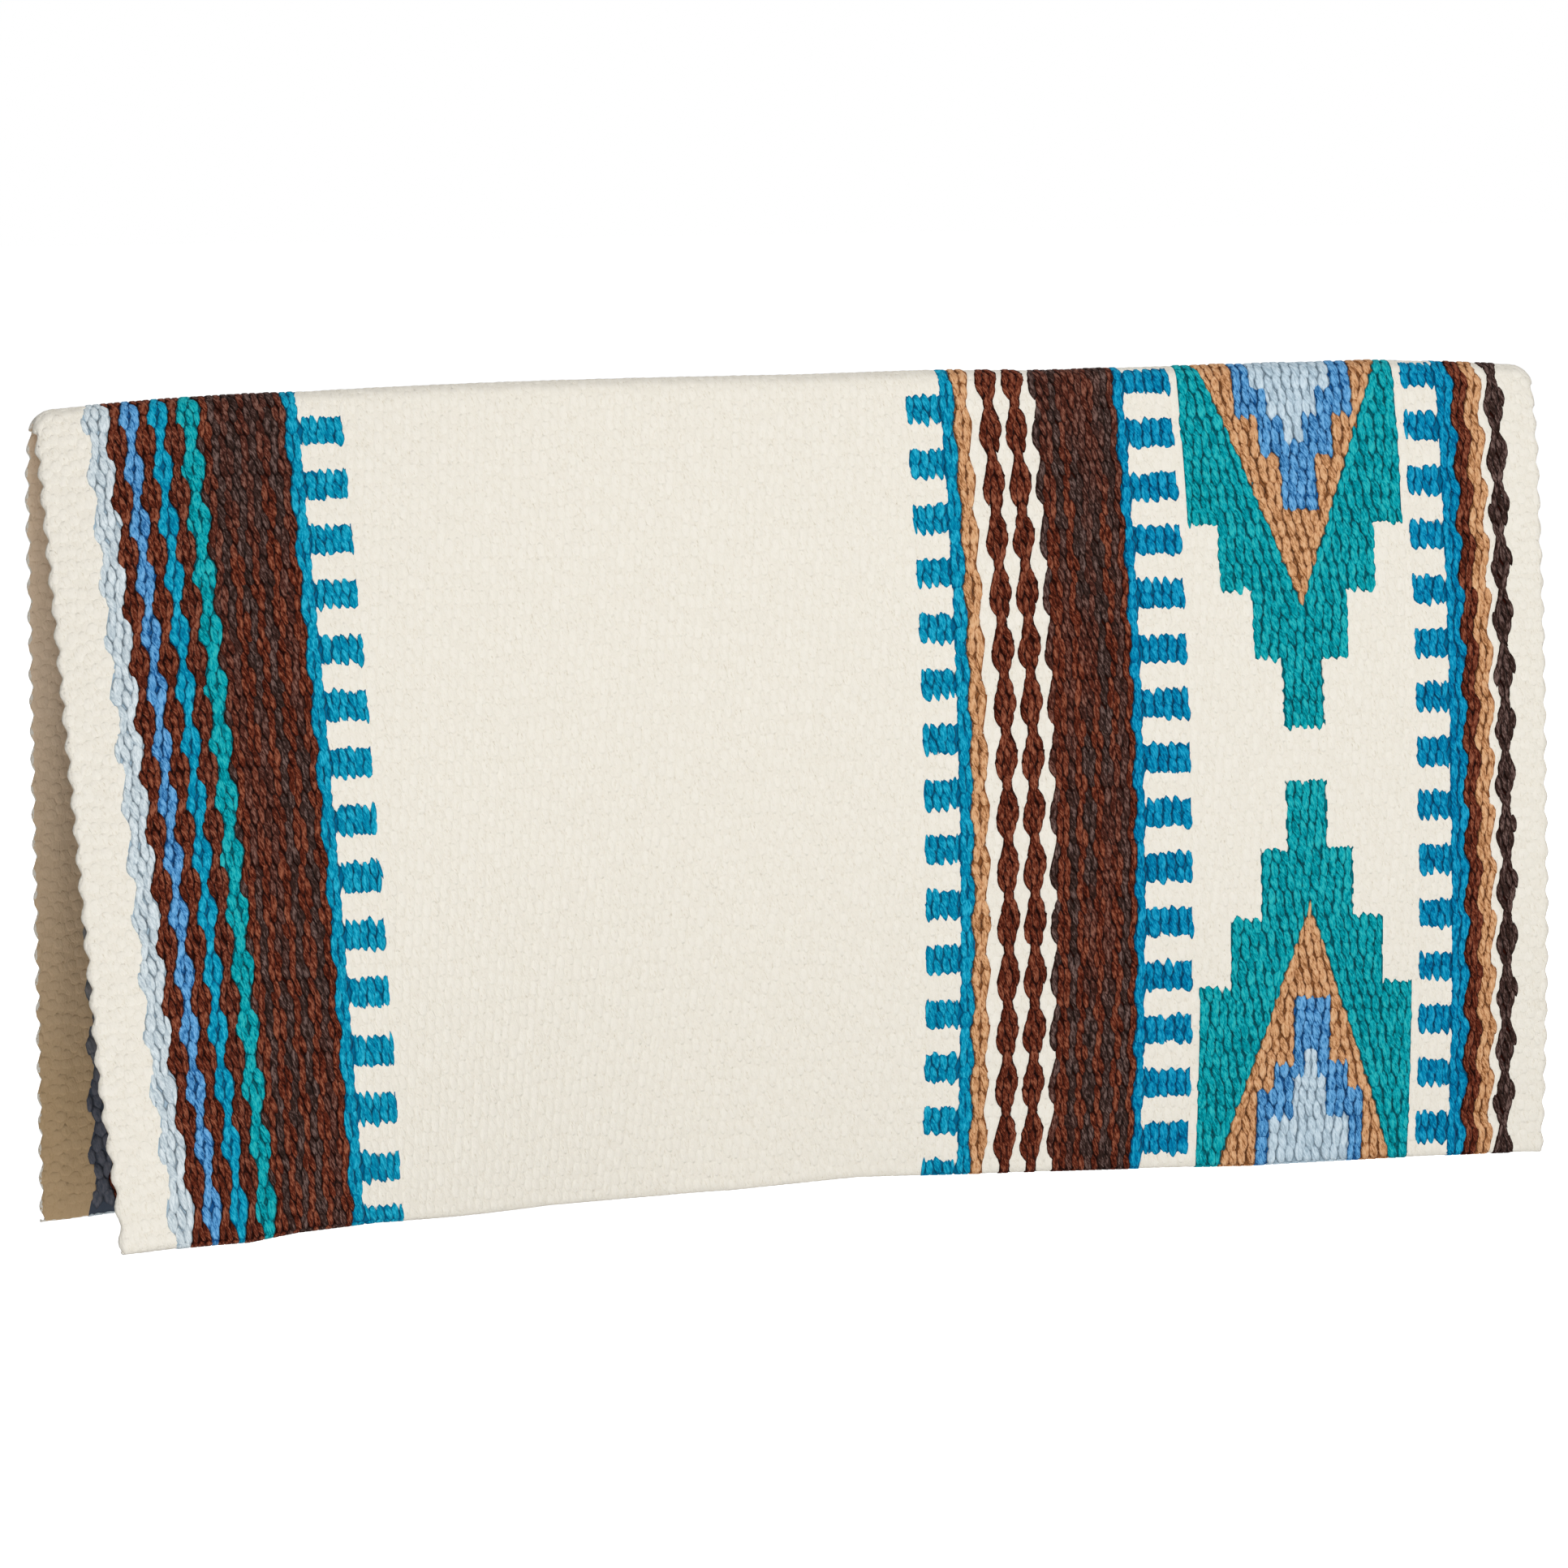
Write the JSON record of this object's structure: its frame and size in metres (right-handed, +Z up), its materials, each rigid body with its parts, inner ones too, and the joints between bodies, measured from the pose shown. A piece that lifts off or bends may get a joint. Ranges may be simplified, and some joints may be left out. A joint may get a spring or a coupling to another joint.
{
  "type": "saddle blanket",
  "caption": "Woven wool saddle blanket folded over at its middle, with striped ends, comb-toothed bands and stepped diamonds; both flaps swing on the fold.",
  "frame": {"origin": "inside crest of the fold at mid width, where the blanket rests on what it hangs over", "axes": "+X along the fold towards the end with the stepped diamonds, +Y out of the off flap's outer face, +Z up"},
  "size_m": [0.8634, 0.2214, 0.4588],
  "materials": {
    "cream": "matt undyed wool, tapestry woven",
    "brown": "matt heathered brown wool, tapestry woven",
    "teal": "matt dyed wool, tapestry woven",
    "green": "matt dyed wool, tapestry woven",
    "tan": "matt dyed wool, tapestry woven",
    "blue": "matt dyed wool, tapestry woven",
    "light_blue": "matt dyed wool, tapestry woven"
  },
  "bodies": {
    "crown": {"crown": "cream"},
    "near_flap": {"near_margin_left": "cream", "near_light_blue_wave": "light_blue", "near_brown_wave_1": "brown", "near_blue_wave": "blue", "near_brown_wave_2": "brown", "near_teal_wave": "teal", "near_brown_wave_3": "brown", "near_green_wave": "green", "near_brown_band_left": "brown", "near_teal_teeth_1": "teal", "near_cream_field": "cream", "near_teal_teeth_2": "teal", "near_tan_wave": "tan", "near_cream_1": "cream", "near_brown_beads_1": "brown", "near_cream_2": "cream", "near_brown_beads_2": "brown", "near_cream_3": "cream", "near_brown_band_right": "brown", "near_teal_teeth_3": "teal", "near_motif_ground": "cream", "near_green_upper": "green", "near_tan_upper": "tan", "near_blue_upper": "blue", "near_light_blue_upper": "light_blue", "near_green_lower": "green", "near_tan_lower": "tan", "near_blue_lower": "blue", "near_light_blue_lower": "light_blue", "near_teal_teeth_4": "teal", "near_brown_stripe": "brown", "near_tan_wave_right": "tan", "near_cream_right": "cream", "near_dark_beads": "brown", "near_margin_right": "cream"},
    "off_flap": {"off_margin_left": "cream", "off_light_blue_wave": "light_blue", "off_brown_wave_1": "brown", "off_blue_wave": "blue", "off_brown_wave_2": "brown", "off_teal_wave": "teal", "off_brown_wave_3": "brown", "off_green_wave": "green", "off_brown_band_left": "brown", "off_teal_teeth_1": "teal", "off_cream_field": "cream", "off_teal_teeth_2": "teal", "off_tan_wave": "tan", "off_cream_beads": "cream", "off_brown_band_right": "brown", "off_teal_teeth_3": "teal", "off_motif_ground": "cream", "off_green_upper": "green", "off_tan_upper": "tan", "off_green_lower": "green", "off_tan_lower": "tan", "off_teal_teeth_4": "teal", "off_brown_stripe": "brown", "off_margin_right": "cream"}
  },
  "joints": [
    {"name": "near_fold", "type": "hinge", "parent": "crown", "child": "near_flap", "pos_m": [0, -0.00742, 0.00592], "axis": [-1, 0, 0], "range_deg": [0, 75]},
    {"name": "off_fold", "type": "hinge", "parent": "crown", "child": "off_flap", "pos_m": [0, 0.00742, 0.00592], "axis": [1, 0, 0], "range_deg": [0, 90]}
  ]
}
